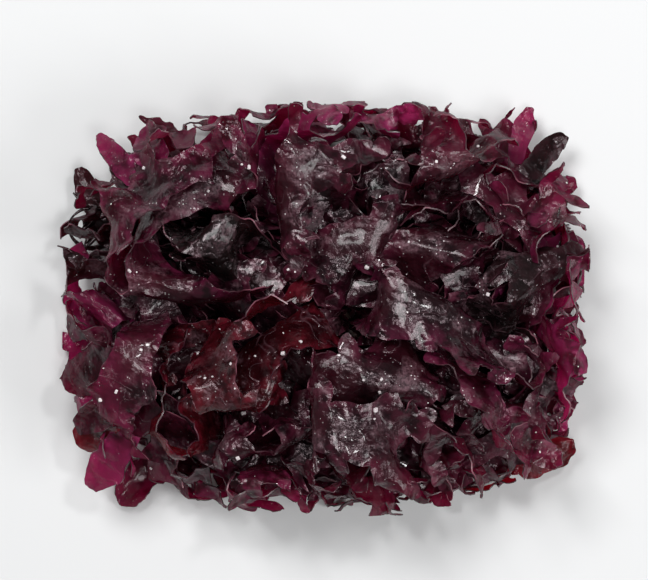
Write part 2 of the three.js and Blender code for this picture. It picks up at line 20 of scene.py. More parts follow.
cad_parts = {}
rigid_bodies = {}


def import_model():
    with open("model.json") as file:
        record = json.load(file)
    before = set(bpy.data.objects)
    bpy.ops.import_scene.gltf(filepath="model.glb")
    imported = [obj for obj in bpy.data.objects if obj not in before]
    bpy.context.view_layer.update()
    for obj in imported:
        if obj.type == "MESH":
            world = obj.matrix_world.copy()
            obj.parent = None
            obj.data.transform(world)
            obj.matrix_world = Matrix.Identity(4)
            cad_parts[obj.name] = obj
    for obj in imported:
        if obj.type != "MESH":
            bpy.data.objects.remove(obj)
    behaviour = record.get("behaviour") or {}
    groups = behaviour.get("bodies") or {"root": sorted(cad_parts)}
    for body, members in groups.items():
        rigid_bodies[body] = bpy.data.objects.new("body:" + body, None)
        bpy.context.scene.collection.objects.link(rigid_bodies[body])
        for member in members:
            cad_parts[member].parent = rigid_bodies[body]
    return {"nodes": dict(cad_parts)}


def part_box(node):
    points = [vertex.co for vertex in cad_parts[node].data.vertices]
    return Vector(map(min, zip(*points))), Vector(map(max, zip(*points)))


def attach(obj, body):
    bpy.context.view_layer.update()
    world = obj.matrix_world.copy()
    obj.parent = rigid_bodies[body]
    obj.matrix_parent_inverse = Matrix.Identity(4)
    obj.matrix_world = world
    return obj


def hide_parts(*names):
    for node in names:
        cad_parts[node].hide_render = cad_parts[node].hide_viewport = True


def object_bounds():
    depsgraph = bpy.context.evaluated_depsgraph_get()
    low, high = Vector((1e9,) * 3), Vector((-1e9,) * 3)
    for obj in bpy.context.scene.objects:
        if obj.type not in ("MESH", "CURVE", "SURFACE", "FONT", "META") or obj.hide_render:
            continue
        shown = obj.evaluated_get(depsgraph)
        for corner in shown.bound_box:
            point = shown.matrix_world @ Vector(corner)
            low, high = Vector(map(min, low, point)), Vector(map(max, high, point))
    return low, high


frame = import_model()
CAD_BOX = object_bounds()

LOG = logging.getLogger("dulse")
MM = 0.001

Colour = tuple[float, float, float]
Stops = list[tuple[float, Colour]]


def select_only(*pieces: bpy.types.Object) -> None:
    """Makes these the only selected objects, with the first one active.

    Args:
        pieces: the objects to select.
    """
    bpy.ops.object.select_all(action="DESELECT")
    for piece in pieces:
        piece.select_set(True)
    bpy.context.view_layer.objects.active = pieces[0]


def edit(piece: bpy.types.Object, vertices: bool = False, edges: bool = False, faces: bool = False) -> None:
    """Opens a piece in edit mode, with the elements of one kind selected as its mesh says.

    Args:
        piece: the object to open.
        vertices: whether vertices are what is picked.
        edges: whether edges are.
        faces: whether faces are.
    """
    select_only(piece)
    bpy.context.tool_settings.mesh_select_mode = (vertices, edges, faces)
    bpy.ops.object.mode_set(mode="EDIT")


def leave_edit() -> None:
    """Goes back to object mode."""
    bpy.ops.object.mode_set(mode="OBJECT")


def pick(elements: bpy.types.bpy_prop_collection, chosen: np.ndarray, mesh: bpy.types.Mesh) -> None:
    """Selects some of a mesh's elements and nothing else.

    Args:
        elements: its vertices, edges or polygons.
        chosen: whether each of them is selected.
        mesh: the mesh.
    """
    for others in (mesh.vertices, mesh.edges, mesh.polygons):
        others.foreach_set("select", np.zeros(len(others), bool))
    elements.foreach_set("select", chosen)


def points_of(mesh: bpy.types.Mesh) -> np.ndarray:
    """The places of a mesh's vertices, one row each."""
    places = np.empty(3 * len(mesh.vertices))
    mesh.vertices.foreach_get("co", places)
    return places.reshape(-1, 3)


def set_points(mesh: bpy.types.Mesh, places: np.ndarray) -> None:
    """Puts a mesh's vertices at these places, one row each."""
    mesh.vertices.foreach_set("co", places.ravel())
    mesh.update()


def apply_modifier(piece: bpy.types.Object, kind: str, **settings: object) -> None:
    """Adds a modifier to a piece and applies it.

    Args:
        piece: the object that gets it.
        kind: the modifier's type.
        settings: values for the modifier's own settings.
    """
    select_only(piece)
    modifier = piece.modifiers.new(kind.lower(), kind)
    for name, value in settings.items():
        setattr(modifier, name, value)
    bpy.ops.object.modifier_apply(modifier=modifier.name)


class Value:
    """A shader value that takes part in arithmetic, each sum or product being a Math node."""

    def __init__(self, sheet: "NodeSheet", socket: bpy.types.NodeSocket) -> None:
        """Wraps an output socket of a node on that sheet."""
        self.sheet = sheet
        self.socket = socket

    def __add__(self, other: "Value | float") -> "Value":
        """This plus other."""
        return self.sheet.math("ADD", self, other)

    def __radd__(self, other: float) -> "Value":
        """Other plus this."""
        return self.sheet.math("ADD", other, self)

    def __sub__(self, other: "Value | float") -> "Value":
        """This minus other."""
        return self.sheet.math("SUBTRACT", self, other)

    def __rsub__(self, other: float) -> "Value":
        """Other minus this."""
        return self.sheet.math("SUBTRACT", other, self)

    def __mul__(self, other: "Value | float") -> "Value":
        """This times other."""
        return self.sheet.math("MULTIPLY", self, other)

    def __rmul__(self, other: float) -> "Value":
        """Other times this."""
        return self.sheet.math("MULTIPLY", other, self)

    def __abs__(self) -> "Value":
        """This without its sign."""
        return self.sheet.math("ABSOLUTE", self)


class NodeSheet:
    """The node tree of one material."""

    def __init__(self, name: str) -> None:
        """Makes a material of that name with an empty node tree."""
        self.material = bpy.data.materials.new(name)
        self.material.use_nodes = True
        self.tree = self.material.node_tree
        self.tree.nodes.clear()
        self.place = Value(self, self.node("ShaderNodeTexCoord").outputs["Object"])

    def node(self, kind: str, settings: dict | None = None, inputs: dict | None = None) -> bpy.types.Node:
        """Adds a node.

        Args:
            kind: the node's type.
            settings: values of the node's own settings, and a ramp's stops under "stops".
            inputs: a number, colour or Value for each socket, by its name or place.

        Returns:
            The new node.
        """
        made = self.tree.nodes.new(kind)
        for name, value in (settings or {}).items():
            if name == "stops":
                self._set_stops(made.color_ramp, value)
            else:
                setattr(made, name, value)
        for name, value in (inputs or {}).items():
            if isinstance(value, Value):
                self.tree.links.new(value.socket, made.inputs[name])
            else:
                made.inputs[name].default_value = value
        return made

    @staticmethod
    def _set_stops(ramp: bpy.types.ColorRamp, stops: Stops) -> None:
        """Gives a colour ramp these stops."""
        while len(ramp.elements) < len(stops):
            ramp.elements.new(1.0)
        for element, (at, colour) in zip(ramp.elements, stops):
            element.position = at
            element.color = (*colour, 1.0)

    def math(self, operation: str, a: "Value | float", b: "Value | float" = 0.0) -> Value:
        """The result of a Math node."""
        made = self.node("ShaderNodeMath", {"operation": operation}, {0: a, 1: b})
        return Value(self, made.outputs[0])

    def noise(self, size: float, detail: float = 2.0, seed: float = 0.0, rough: float = 0.5) -> Value:
        """Soft noise over the object.

        Args:
            size: how far apart its highs are, in metres.
            detail: how many finer layers it has.
            seed: which of the endless noises it is.
            rough: how strong the finer layers are.

        Returns:
            A value from 0 to 1, mostly near the middle.
        """
        made = self.node(
            "ShaderNodeTexNoise",
            {"noise_dimensions": "4D"},
            {"Vector": self.place, "W": seed, "Scale": 1.0 / size, "Detail": detail, "Roughness": rough},
        )
        return Value(self, made.outputs[0])

    def cells(self, size: float) -> tuple[Value, Value]:
        """Scattered cells.

        Args:
            size: how far apart they are, in metres.

        Returns:
            The distance from a cell's middle, as a share of size, and a random value for each cell.
        """
        made = self.node("ShaderNodeTexVoronoi", {}, {"Vector": self.place, "Scale": 1.0 / size})
        parts = self.node("ShaderNodeSeparateColor", {}, {0: Value(self, made.outputs["Color"])})
        return Value(self, made.outputs["Distance"]), Value(self, parts.outputs[0])

    def reach(self, half_length: float, half_depth: float) -> Value:
        """How far out from the heap's middle a point lies, 1 being at a rounded outline of this size."""
        scaled = self.node("ShaderNodeMapping", {}, {
            "Vector": self.place, "Scale": (1 / half_length, 1 / half_depth, 0.0),
        })
        spread = self.node("ShaderNodeVectorMath", {"operation": "LENGTH"}, {0: Value(self, scaled.outputs[0])})
        return Value(self, spread.outputs["Value"])

    def step(self, value: Value, low: float, high: float) -> Value:
        """A smooth step from 0 at low to 1 at high."""
        made = self.node(
            "ShaderNodeMapRange",
            {"interpolation_type": "SMOOTHSTEP"},
            {"Value": value, "From Min": low, "From Max": high},
        )
        return Value(self, made.outputs["Result"])

    def attribute(self, name: str) -> Value:
        """The value of a mesh attribute."""
        made = self.node("ShaderNodeAttribute", {"attribute_name": name})
        return Value(self, made.outputs["Fac"])

    def mix(self, share: "Value | float", a: "Value | Colour", b: "Value | Colour") -> Value:
        """A colour between a and b.

        Args:
            share: 0 gives a and 1 gives b.
            a: the first colour.
            b: the second colour.

        Returns:
            The mixed colour.
        """
        ends = [end if isinstance(end, Value) else (*end, 1.0) for end in (a, b)]
        made = self.node("ShaderNodeMix", {"data_type": "RGBA"}, {0: share, 6: ends[0], 7: ends[1]})
        return Value(self, made.outputs[2])

    def bump(self, height: Value, depth: float, under: Value | None = None) -> Value:
        """A normal bent by a height.

        Args:
            height: the height, from 0 to 1.
            depth: how deep that is, in metres.
            under: a normal that this one is laid on.

        Returns:
            The new normal.
        """
        inputs = {"Height": height, "Distance": depth}
        if under is not None:
            inputs["Normal"] = under
        return Value(self, self.node("ShaderNodeBump", {}, inputs).outputs["Normal"])

    def surface(self, shader: bpy.types.Node) -> bpy.types.Material:
        """Ends the tree with that shader and gives the material."""
        self.node("ShaderNodeOutputMaterial", {}, {"Surface": Value(self, shader.outputs[0])})
        return self.material


class Tint(Enum):
    """How a frond is coloured: its deep tone, its usual tone, its thin tone and what shines through it. The thin
    tone is partly the thin blade's own lighter colour and partly painted backlight, light shining through from
    behind.
    """

    BURGUNDY = ((0.004, 0.001, 0.002), (0.022, 0.004, 0.007), (0.105, 0.012, 0.034), (0.62, 0.045, 0.20))
    WINE = ((0.005, 0.001, 0.002), (0.034, 0.005, 0.010), (0.150, 0.014, 0.052), (0.70, 0.05, 0.25))
    MAGENTA = ((0.012, 0.002, 0.005), (0.070, 0.008, 0.026), (0.270, 0.024, 0.105), (0.85, 0.07, 0.36))
    RUBY = ((0.010, 0.001, 0.002), (0.055, 0.004, 0.007), (0.170, 0.010, 0.024), (0.76, 0.04, 0.11))
    SLATE = ((0.002, 0.002, 0.002), (0.008, 0.005, 0.005), (0.040, 0.010, 0.016), (0.28, 0.05, 0.08))


TINTED_FRONDS = {
    Tint.SLATE: (10, 12, 14, 15),
    Tint.MAGENTA: (1, 5, 7),
    Tint.RUBY: (6, 21),
    Tint.WINE: (3, 8, 9, 13, 18, 22),
}


def tint_of(number: int) -> Tint:
    """The tint of the frond with that number."""
    return next((tint for tint, numbers in TINTED_FRONDS.items() if number in numbers), Tint.BURGUNDY)


class Lay(Enum):
    """How a frond lies: as packed, or turned or mirrored round the holdfast and pressed down, to fill the heap.

    The numbers are its scale along X, Y and Z.
    """

    AS_PACKED = (1.0, 1.0, 1.0)
    TURNED = (-0.80, -0.80, 0.60)
    MIRRORED = (0.90, -0.80, 0.66)
    FLIPPED = (-0.80, 0.92, 0.54)


@dataclass(frozen=True)
class BladeFinish:
    """Wet dulse: dark where it is thick, magenta where it is thin, creased, with dull salty patches. Some light is
    painted: backlight glow towards the heap's outline, pale highlights along creases, sheen on the dull patches and
    glints among the salt specks.
    """

    tint: Tint
    seed: float
    # Partly a salt bloom and partly a painted sheen; also the painted highlight along the creases.
    bloom_and_sheen: Colour = (0.23, 0.115, 0.145)
    # Salt specks, which partly stand for painted glints of wet light.
    salt: Colour = (0.75, 0.68, 0.70)
    sheen: Colour = (1.0, 0.78, 0.85)
    shine_through: float = 0.36
    outer_glow: float = 0.27

    def material(self) -> bpy.types.Material:
        """Builds the finish."""
        deep, usual, thin, glow = self.tint.value
        sheet = NodeSheet(f"blade_{self.tint.name.lower()}_{int(self.seed)}")
        margin = sheet.attribute("margin")
        clouds = sheet.noise(13 * MM, 3.0, self.seed)
        streaks = sheet.noise(2.6 * MM, 3.0, self.seed + 5)
        dull = sheet.step(sheet.noise(8 * MM, 4.0, self.seed + 9, 0.6), 0.52, 0.66)
        grain = sheet.noise(0.55 * MM, 3.0, self.seed + 14, 0.7)
        crease_and_crest_highlight = self._creases(sheet)
        salt_and_glint_specks = self._salt_and_glint_specks(sheet, dull)
        # Painted backlight: the blades are painted brighter towards the heap's outline, as if light shone through
        # them from behind.
        backlit_outskirts = sheet.step(sheet.reach(CAD_BOX[1].x, CAD_BOX[1].y), 0.72, 1.0)
        colour = sheet.mix(sheet.step(clouds + 0.25 * streaks, 0.53, 0.80), deep, usual)
        # The margins get the thin tone: partly their own lighter colour, partly painted backlight that grows
        # towards the heap's outline.
        colour = sheet.mix(margin * sheet.step(streaks, 0.38, 0.62) * (0.45 + 0.4 * backlit_outskirts), colour, thin)
        # More painted backlight, in patches towards the heap's outline.
        colour = sheet.mix(backlit_outskirts * sheet.step(clouds, 0.46, 0.62) * 0.5, colour, thin)
        # Partly salt bloom on the dull patches and partly painted sheen, with a painted highlight along the crease
        # lines.
        colour = sheet.mix(dull * sheet.step(grain, 0.34, 0.66) * 0.5 + crease_and_crest_highlight * 0.2, colour, self.bloom_and_sheen)
        # Salt specks, partly painted glints.
        colour = sheet.mix(salt_and_glint_specks, colour, self.salt)
        ridges = sheet.bump(abs(sheet.noise(4.5 * MM, 2.0, self.seed + 2) - 0.5), 1.5 * MM)
        wrinkles = sheet.bump(sheet.noise(1.5 * MM, 3.0, self.seed + 4), 0.35 * MM, ridges)
        folds = sheet.bump(crease_and_crest_highlight, 0.22 * MM, wrinkles)
        relief = sheet.bump(grain * (0.4 + 0.6 * dull), 0.10 * MM, folds)
        film = sheet.node(
            "ShaderNodeBsdfPrincipled",
            {},
            {
                "Base Color": colour,
                "Roughness": 0.15 + 0.18 * streaks + 0.26 * dull,
                "Normal": relief,
                "IOR": 1.45,
                "Specular Tint": (*self.sheen, 1.0),
                "Coat Weight": 0.32 - 0.28 * dull,
                "Coat Roughness": 0.09,
            },
        )
        lit = sheet.node("ShaderNodeBsdfTranslucent", {}, {"Color": (*glow, 1.0)})
        share = self.shine_through * (0.5 + 0.35 * sheet.step(clouds, 0.4, 0.7)) + self.outer_glow * backlit_outskirts
        both = sheet.node(
            "ShaderNodeMixShader",
            {},
            {0: share, 1: Value(sheet, film.outputs[0]), 2: Value(sheet, lit.outputs[0])},
        )
        return sheet.surface(both)

    def _creases(self, sheet: NodeSheet) -> Value:
        """Hairline folds, which run where a broad noise crosses its middle. They bend the normal and carry a
        painted highlight.
        """
        lines = sheet.step(abs(sheet.noise(7 * MM, 1.0, self.seed + 21) - 0.5), 0.016, 0.0)
        return lines * sheet.step(sheet.noise(10 * MM, 1.0, self.seed + 23), 0.46, 0.56)

    def _salt_and_glint_specks(self, sheet: NodeSheet, dull: Value) -> Value:
        """Fine salt specks, partly painted glints of wet light, thickest on the dull patches."""
        distance, chance = sheet.cells(0.8 * MM)
        wanted = sheet.step(chance + 0.20 * dull, 0.90, 0.93)
        return sheet.step(distance, 0.26, 0.14) * wanted * (0.25 + 0.75 * dull)


@dataclass(frozen=True)
class RimFinish:
    """The cut-thin edge of a blade, painted pale in patches as a highlight where it would catch the light as a pale
    line.
    """

    # The painted highlight along the rim.
    pale: Colour = (0.17, 0.05, 0.075)
    dark: Colour = (0.03, 0.004, 0.010)

    def material(self) -> bpy.types.Material:
        """Builds the finish."""
        sheet = NodeSheet("blade_rim")
        # Painted highlight: pale patches along the rim.
        colour = sheet.mix(sheet.step(sheet.noise(6 * MM, 3.0, 3.0), 0.48, 0.66), self.dark, self.pale)
        film = sheet.node(
            "ShaderNodeBsdfPrincipled",
            {},
            {"Base Color": colour, "Roughness": 0.42, "Coat Weight": 0.15, "Coat Roughness": 0.2},
        )
        return sheet.surface(film)


@dataclass(frozen=True)
class SaltFinish:
    """Sea salt dried in grains."""

    colour: Colour = (0.80, 0.76, 0.77)

    def material(self) -> bpy.types.Material:
        """Builds the finish."""
        sheet = NodeSheet("sea_salt")
        mottled = sheet.mix(sheet.noise(0.5 * MM, 2.0, 1.0), self.colour, (0.55, 0.45, 0.48))
        film = sheet.node(
            "ShaderNodeBsdfPrincipled",
            {},
            {"Base Color": mottled, "Roughness": 0.35, "IOR": 1.54, "Transmission Weight": 0.1},
        )
        return sheet.surface(film)


@dataclass(frozen=True)
class HoldfastFinish:
    """The holdfast: tough, dull and wrinkled."""

    dark: Colour = (0.018, 0.008, 0.008)
    light: Colour = (0.10, 0.045, 0.035)

    def material(self) -> bpy.types.Material:
        """Builds the finish."""
        sheet = NodeSheet("holdfast_skin")
        clouds = sheet.noise(3 * MM, 5.0, 4.0, 0.6)
        relief = sheet.bump(sheet.noise(0.8 * MM, 4.0, 6.0), 0.25 * MM)
        film = sheet.node(
            "ShaderNodeBsdfPrincipled",
            {},
            {
                "Base Color": sheet.mix(sheet.step(clouds, 0.35, 0.7), self.dark, self.light),
                "Roughness": 0.45 + 0.25 * clouds,
                "Normal": relief,
            },
        )
        return sheet.surface(film)


@dataclass(frozen=True)
class FloorFinish:
    """A plain pale floor."""

    colour: Colour = (0.60, 0.605, 0.61)

    def material(self) -> bpy.types.Material:
        """Builds the finish."""
        sheet = NodeSheet("floor")
        film = sheet.node("ShaderNodeBsdfPrincipled", {}, {"Base Color": (*self.colour, 1.0), "Roughness": 0.6})
        return sheet.surface(film)


@dataclass
class Frond:
    """One frond, from its stalk's end at the holdfast to the tips of its lobes."""

    node: str
    blade: bpy.types.Material
    rim: bpy.types.Material
    seed: int
    lay: Lay = Lay.AS_PACKED
    solid_thickness: float = 0.7 * MM
    thickness: float = 0.28 * MM
    relaxing: int = 3
    rim_relaxed: float = 0.3
    fold: float = math.radians(20)
    fold_crease: float = 0.85
    leaflets: float = 0.2
    leaflet_length: float = 4.2 * MM
    warp: float = 1.4 * MM
    warp_size: float = 9 * MM
    ruffle: float = 1.5 * MM
    ruffle_size: float = 5.0 * MM
    corners: float = 0.45
    ragged: float = 0.7 * MM
    ragged_size: float = 1.8 * MM
    wrinkle: float = 1.0 * MM
    wrinkle_size: float = 7 * MM
    levels: int = 2
    draw: random.Random = field(init=False)

    def __post_init__(self) -> None:
        """Seeds the frond's own random draws."""
        self.draw = random.Random(self.seed)

    def build(self) -> bpy.types.Object:
        """Models the frond in its packed place.

        Returns:
            The finished piece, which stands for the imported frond.
        """
        piece = self.model()
        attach(piece, "root")
        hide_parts(self.node)
        return piece

    def model(self) -> bpy.types.Object:
        """Models and dresses the frond.

        Returns:
            The piece.
        """
        piece = self._one_skin()
        self._relax(piece)
        self._lay_down(piece)
        self._grow_leaflets(piece)
        self._mark_margin(piece)
        self._crease_folds(piece)
        self._sharpen_corners(piece)
        self._make_fine(piece)
        self._keep_in_box(piece)
        self._thicken(piece)
        return piece

    def _one_skin(self) -> bpy.types.Object:
        """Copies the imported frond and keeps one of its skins, moved to the middle of the blade."""
        mesh = frame["nodes"][self.node].data.copy()
        mesh.materials.clear()
        piece = bpy.data.objects.new(f"blade_{self.node[-2:]}", mesh)
        bpy.context.scene.collection.objects.link(piece)
        edit(piece, vertices=True)
        bpy.ops.mesh.select_all(action="SELECT")
        bpy.ops.mesh.customdata_custom_splitnormals_clear()
        bpy.ops.mesh.remove_doubles(threshold=0.01 * MM)
        leave_edit()
        self._select_walls(mesh)
        edit(piece, faces=True)
        bpy.ops.mesh.delete(type="FACE")
        leave_edit()
        pick(mesh.polygons, np.arange(len(mesh.polygons)) == 0, mesh)
        edit(piece, faces=True)
        bpy.ops.mesh.select_linked()
        bpy.ops.mesh.select_all(action="INVERT")
        bpy.ops.mesh.delete(type="FACE")
        bpy.ops.mesh.select_all(action="SELECT")
        bpy.ops.transform.shrink_fatten(value=-self.solid_thickness / 2)
        bpy.ops.mesh.tris_convert_to_quads(face_threshold=math.radians(50), shape_threshold=math.radians(50))
        leave_edit()
        return piece

    def _select_walls(self, mesh: bpy.types.Mesh) -> None:
        """Selects the faces along the rim, the only ones with a side as short as the solid is thick."""
        places = points_of(mesh)
        corners = np.array([face.vertices[:] for face in mesh.polygons])
        sides = np.stack([places[corners[:, k]] - places[corners[:, (k + 1) % 3]] for k in range(3)], 1)
        shortest = np.linalg.norm(sides, axis=2).min(axis=1)
        pick(mesh.polygons, shortest < 1.15 * self.solid_thickness, mesh)

    def _rim_edges(self, mesh: bpy.types.Mesh) -> list[int]:
        """The edges that only one face has."""
        uses: dict[tuple[int, int], int] = {}
        for face in mesh.polygons:
            for key in face.edge_keys:
                uses[key] = uses.get(key, 0) + 1
        return [edge.index for edge in mesh.edges if uses.get(edge.key) == 1]

    def _relax(self, piece: bpy.types.Object) -> None:
        """Smooths small dents out of the blade and leaves its rim nearly as it is."""
        mesh = piece.data
        rim = {i for edge in self._rim_edges(mesh) for i in mesh.edges[edge].vertices}
        group = piece.vertex_groups.new(name="relaxed")
        for vertex in mesh.vertices:
            group.add([vertex.index], self.rim_relaxed if vertex.index in rim else 1.0, "REPLACE")
        apply_modifier(piece, "SMOOTH", factor=0.5, iterations=self.relaxing, vertex_group="relaxed")

    def _lay_down(self, piece: bpy.types.Object) -> None:
        """Moves the sheet as its lay says, about the holdfast's foot."""
        low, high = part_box("holdfast")
        foot = Vector(((low.x + high.x) / 2, (low.y + high.y) / 2, 0.0))
        scale = Matrix.Diagonal((*self.lay.value, 1.0))
        piece.data.transform(Matrix.Translation(foot) @ scale @ Matrix.Translation(-foot))
        if scale.determinant() < 0:
            edit(piece, faces=True)
            bpy.ops.mesh.select_all(action="SELECT")
            bpy.ops.mesh.normals_make_consistent(inside=False)
            leave_edit()

    def _grow_leaflets(self, piece: bpy.types.Object) -> None:
        """Draws small leaflets out of edges of the rim, by narrowing steps."""
        mesh = piece.data
        rim = self._rim_edges(mesh)
        chosen = [edge for edge in rim if self.draw.random() < self._leaflet_share(mesh, edge)]
        face_of = {key: face for face in mesh.polygons for key in face.edge_keys}
        starts = []
        for index in chosen:
            edge = mesh.edges[index]
            a, b = (mesh.vertices[i].co.copy() for i in edge.vertices)
            face = face_of[edge.key]
            middle = (a + b) / 2
            outward = (middle - face.center).normalized()
            starts.append((index, middle, outward, face.normal.copy()))
        for edge, middle, outward, normal in starts:
            self._grow_leaflet(piece, edge, middle, outward, normal)

    def _leaflet_share(self, mesh: bpy.types.Mesh, edge: int) -> float:
        """How likely an edge of the rim is to bear a leaflet: more to the right of the heap than to its left."""
        ends = mesh.edges[edge].vertices
        across = sum(mesh.vertices[i].co.x for i in ends) / (2 * CAD_BOX[1].x)
        return self.leaflets * (1 + 0.7 * across)

    def _grow_leaflet(self, piece: bpy.types.Object, edge: int, middle: Vector,
                      outward: Vector, normal: Vector) -> None:
        """Draws one leaflet out of an edge.

        Args:
            piece: the sheet.
            edge: the edge's place in the mesh.
            middle: the edge's middle.
            outward: the direction away from the blade.
            normal: the blade's normal beside the edge.
        """
        mesh = piece.data
        length = self.leaflet_length * self.draw.uniform(0.5, 1.5) * (1 + 0.7 * max(0.0, middle.x / CAD_BOX[1].x))
        curl = self.draw.uniform(-0.8, 0.8)
        tip = self.draw.choice((0.05, 0.12, 0.45))
        pick(mesh.edges, np.arange(len(mesh.edges)) == edge, mesh)
        edit(piece, edges=True)
        at = middle
        for reach, width in ((0.35, 1.25), (0.35, 0.75), (0.30, tip)):
            turn = outward + curl * normal
            shift = turn.normalized() * (length * reach)
            at = at + shift
            bpy.ops.mesh.extrude_edges_move(TRANSFORM_OT_translate={"value": shift})
            bpy.ops.transform.resize(value=(width, width, width), center_override=at)
            outward = turn.normalized()
        leave_edit()

    def _mark_margin(self, piece: bpy.types.Object) -> None:
        """Weighs the rim's vertices fully and their neighbours a little."""
        mesh = piece.data
        weight = np.zeros(len(mesh.vertices))
        rim = {i for edge in self._rim_edges(mesh) for i in mesh.edges[edge].vertices}
        near = {i for edge in mesh.edges for i in edge.vertices if rim & set(edge.vertices)}
        weight[list(near)] = 0.25
        weight[list(rim)] = 1.0
        group = piece.vertex_groups.new(name="ruffled")
        for i, share in enumerate(weight):
            group.add([i], float(share), "REPLACE")
        attribute = mesh.attributes.new("margin", "FLOAT", "POINT")
        attribute.data.foreach_set("value", weight)

    def _crease_folds(self, piece: bpy.types.Object) -> None:
        """Keeps the edges where the blade folds sharp when it is divided."""
        mesh = piece.data
        normals: dict[tuple[int, int], list[Vector]] = {}
        for face in mesh.polygons:
            for key in face.edge_keys:
                normals.setdefault(key, []).append(face.normal.copy())
        folded = []
        for item in mesh.edges:
            sides = normals.get(item.key, [])
            folded.append(len(sides) == 2 and sides[0].angle(sides[1], 0.0) > self.fold)
        pick(mesh.edges, np.array(folded), mesh)
        edit(piece, edges=True)
        bpy.ops.transform.edge_crease(value=self.fold_crease)
        leave_edit()

    def _sharpen_corners(self, piece: bpy.types.Object) -> None:
        """Keeps some of the rim's corners pointed when it is divided."""
        mesh = piece.data
        rim = sorted({i for edge in self._rim_edges(mesh) for i in mesh.edges[edge].vertices})
        chosen = np.zeros(len(mesh.vertices), bool)
        chosen[[i for i in rim if self.draw.random() < self.corners]] = True
        pick(mesh.vertices, chosen, mesh)
        edit(piece, vertices=True)
        bpy.ops.transform.vert_crease(value=1.0)
        leave_edit()

    def _clouds(self, name: str, size: float, colour: bool) -> bpy.types.Texture:
        """A cloud texture to move points by.

        Args:
            name: its name.
            size: how far apart its highs are.
            colour: whether it has a noise of its own for each axis.

        Returns:
            The texture.
        """
        found = bpy.data.textures.get(name)
        if found is not None:
            return found
        made = bpy.data.textures.new(name, "CLOUDS")
        made.noise_scale = size
        made.noise_depth = 1
        made.cloud_type = "COLOR" if colour else "GRAYSCALE"
        made.noise_type = "SOFT_NOISE" if colour else "HARD_NOISE"
        return made

    def _make_fine(self, piece: bpy.types.Object) -> None:
        """Divides the sheet finely, then warps, ruffles and wrinkles it."""
        apply_modifier(piece, "SUBSURF", levels=self.levels, render_levels=self.levels)
        apply_modifier(
            piece, "DISPLACE", texture=self._clouds("warp", self.warp_size, True), strength=self.warp,
            direction="RGB_TO_XYZ", texture_coords="LOCAL", mid_level=0.5,
        )
        apply_modifier(
            piece, "DISPLACE", texture=self._clouds("ruffle", self.ruffle_size, True), strength=self.ruffle,
            direction="RGB_TO_XYZ", texture_coords="LOCAL", mid_level=0.5, vertex_group="ruffled",
        )
        apply_modifier(
            piece, "DISPLACE", texture=self._clouds("ragged", self.ragged_size, True), strength=self.ragged,
            direction="RGB_TO_XYZ", texture_coords="LOCAL", mid_level=0.5, vertex_group="ruffled",
        )
        apply_modifier(
            piece, "DISPLACE", texture=self._clouds("wrinkle", self.wrinkle_size, False),
            strength=self.wrinkle, direction="NORMAL", texture_coords="LOCAL", mid_level=0.5,
        )

    def _keep_in_box(self, piece: bpy.types.Object) -> None:
        """Lays what the warp pushed out of the tuft's box flat against that box."""
        low = np.array(CAD_BOX[0]) + self.thickness
        high = np.array(CAD_BOX[1]) - self.thickness
        set_points(piece.data, np.clip(points_of(piece.data), low, high))

    def _thicken(self, piece: bpy.types.Object) -> None:
        """Gives the sheet its thickness and its two finishes."""
        piece.data.materials.append(self.blade)
        piece.data.materials.append(self.rim)
        apply_modifier(piece, "SOLIDIFY", thickness=self.thickness, offset=0.0, material_offset_rim=1)
        select_only(piece)
        bpy.ops.object.shade_smooth_by_angle(angle=math.radians(50))


@dataclass
class UnderBlades:
    """Smaller fronds low in the heap, which close it between the large ones."""

    lay: Lay
    blade: bpy.types.Material
    rim: bpy.types.Material
    levels: int = 1

    def build(self) -> bpy.types.Object:
        """Models the fronds of this lay and joins them.

        Returns:
            The finished piece.
        """
        fronds = []
        for node in sorted(name for name in frame["nodes"] if name.startswith("frond")):
            seed = 100 * (1 + list(Lay).index(self.lay)) + int(node[-2:])
            fronds.append(Frond(node, self.blade, self.rim, seed, self.lay, leaflets=0.0,
                                levels=self.levels).model())
        select_only(*fronds)
        bpy.ops.object.join()
        piece = bpy.context.active_object
        piece.name = f"under_blades_{self.lay.name.lower()}"
        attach(piece, "root")
        return piece


@dataclass
class Holdfast:
    """The button that the tuft grew on, with a lobed foot."""

    finish: bpy.types.Material
    node: str = "holdfast"

    def build(self) -> bpy.types.Object:
        """Models and dresses the holdfast.

        Returns:
            The finished piece.
        """
        low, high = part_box(self.node)
        middle = (low + high) / 2
        radius = (high.x - low.x) / 2
        bpy.ops.mesh.primitive_uv_sphere_add(
            segments=32, ring_count=16, radius=radius, location=(middle.x, middle.y, high.z - radius),
        )
        piece = bpy.context.active_object
        piece.name = "holdfast_button"
        select_only(piece)
        bpy.ops.object.transform_apply(location=True, rotation=True, scale=True)
        edit(piece, vertices=True)
        bpy.ops.mesh.select_all(action="SELECT")
        bpy.ops.mesh.bisect(plane_co=(middle.x, middle.y, low.z), plane_no=(0, 0, 1), use_fill=True,
                            clear_inner=True)
        leave_edit()
        apply_modifier(piece, "SUBSURF", levels=2, render_levels=2)
        clouds = bpy.data.textures.new("lumps", "CLOUDS")
        clouds.noise_scale = 2.5 * MM
        apply_modifier(piece, "DISPLACE", texture=clouds, strength=1.2 * MM, texture_coords="LOCAL", mid_level=0.35)
        places = points_of(piece.data)
        places[:, 2] = np.maximum(places[:, 2], low.z)
        set_points(piece.data, places)
        piece.data.materials.append(self.finish)
        bpy.ops.object.shade_smooth_by_angle(angle=math.radians(60))
        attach(piece, "root")
        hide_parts(self.node)
        return piece


def search_tree(pieces: list[bpy.types.Object]) -> BVHTree:
    """A tree of all the faces of some pieces, to find what lies where."""
    corners: list[Vector] = []
    faces: list[tuple[int, ...]] = []
    for piece in pieces:
        first = len(corners)
        corners.extend(vertex.co.copy() for vertex in piece.data.vertices)
        faces.extend(tuple(first + i for i in face.vertices) for face in piece.data.polygons)
    return BVHTree.FromPolygons(corners, faces)


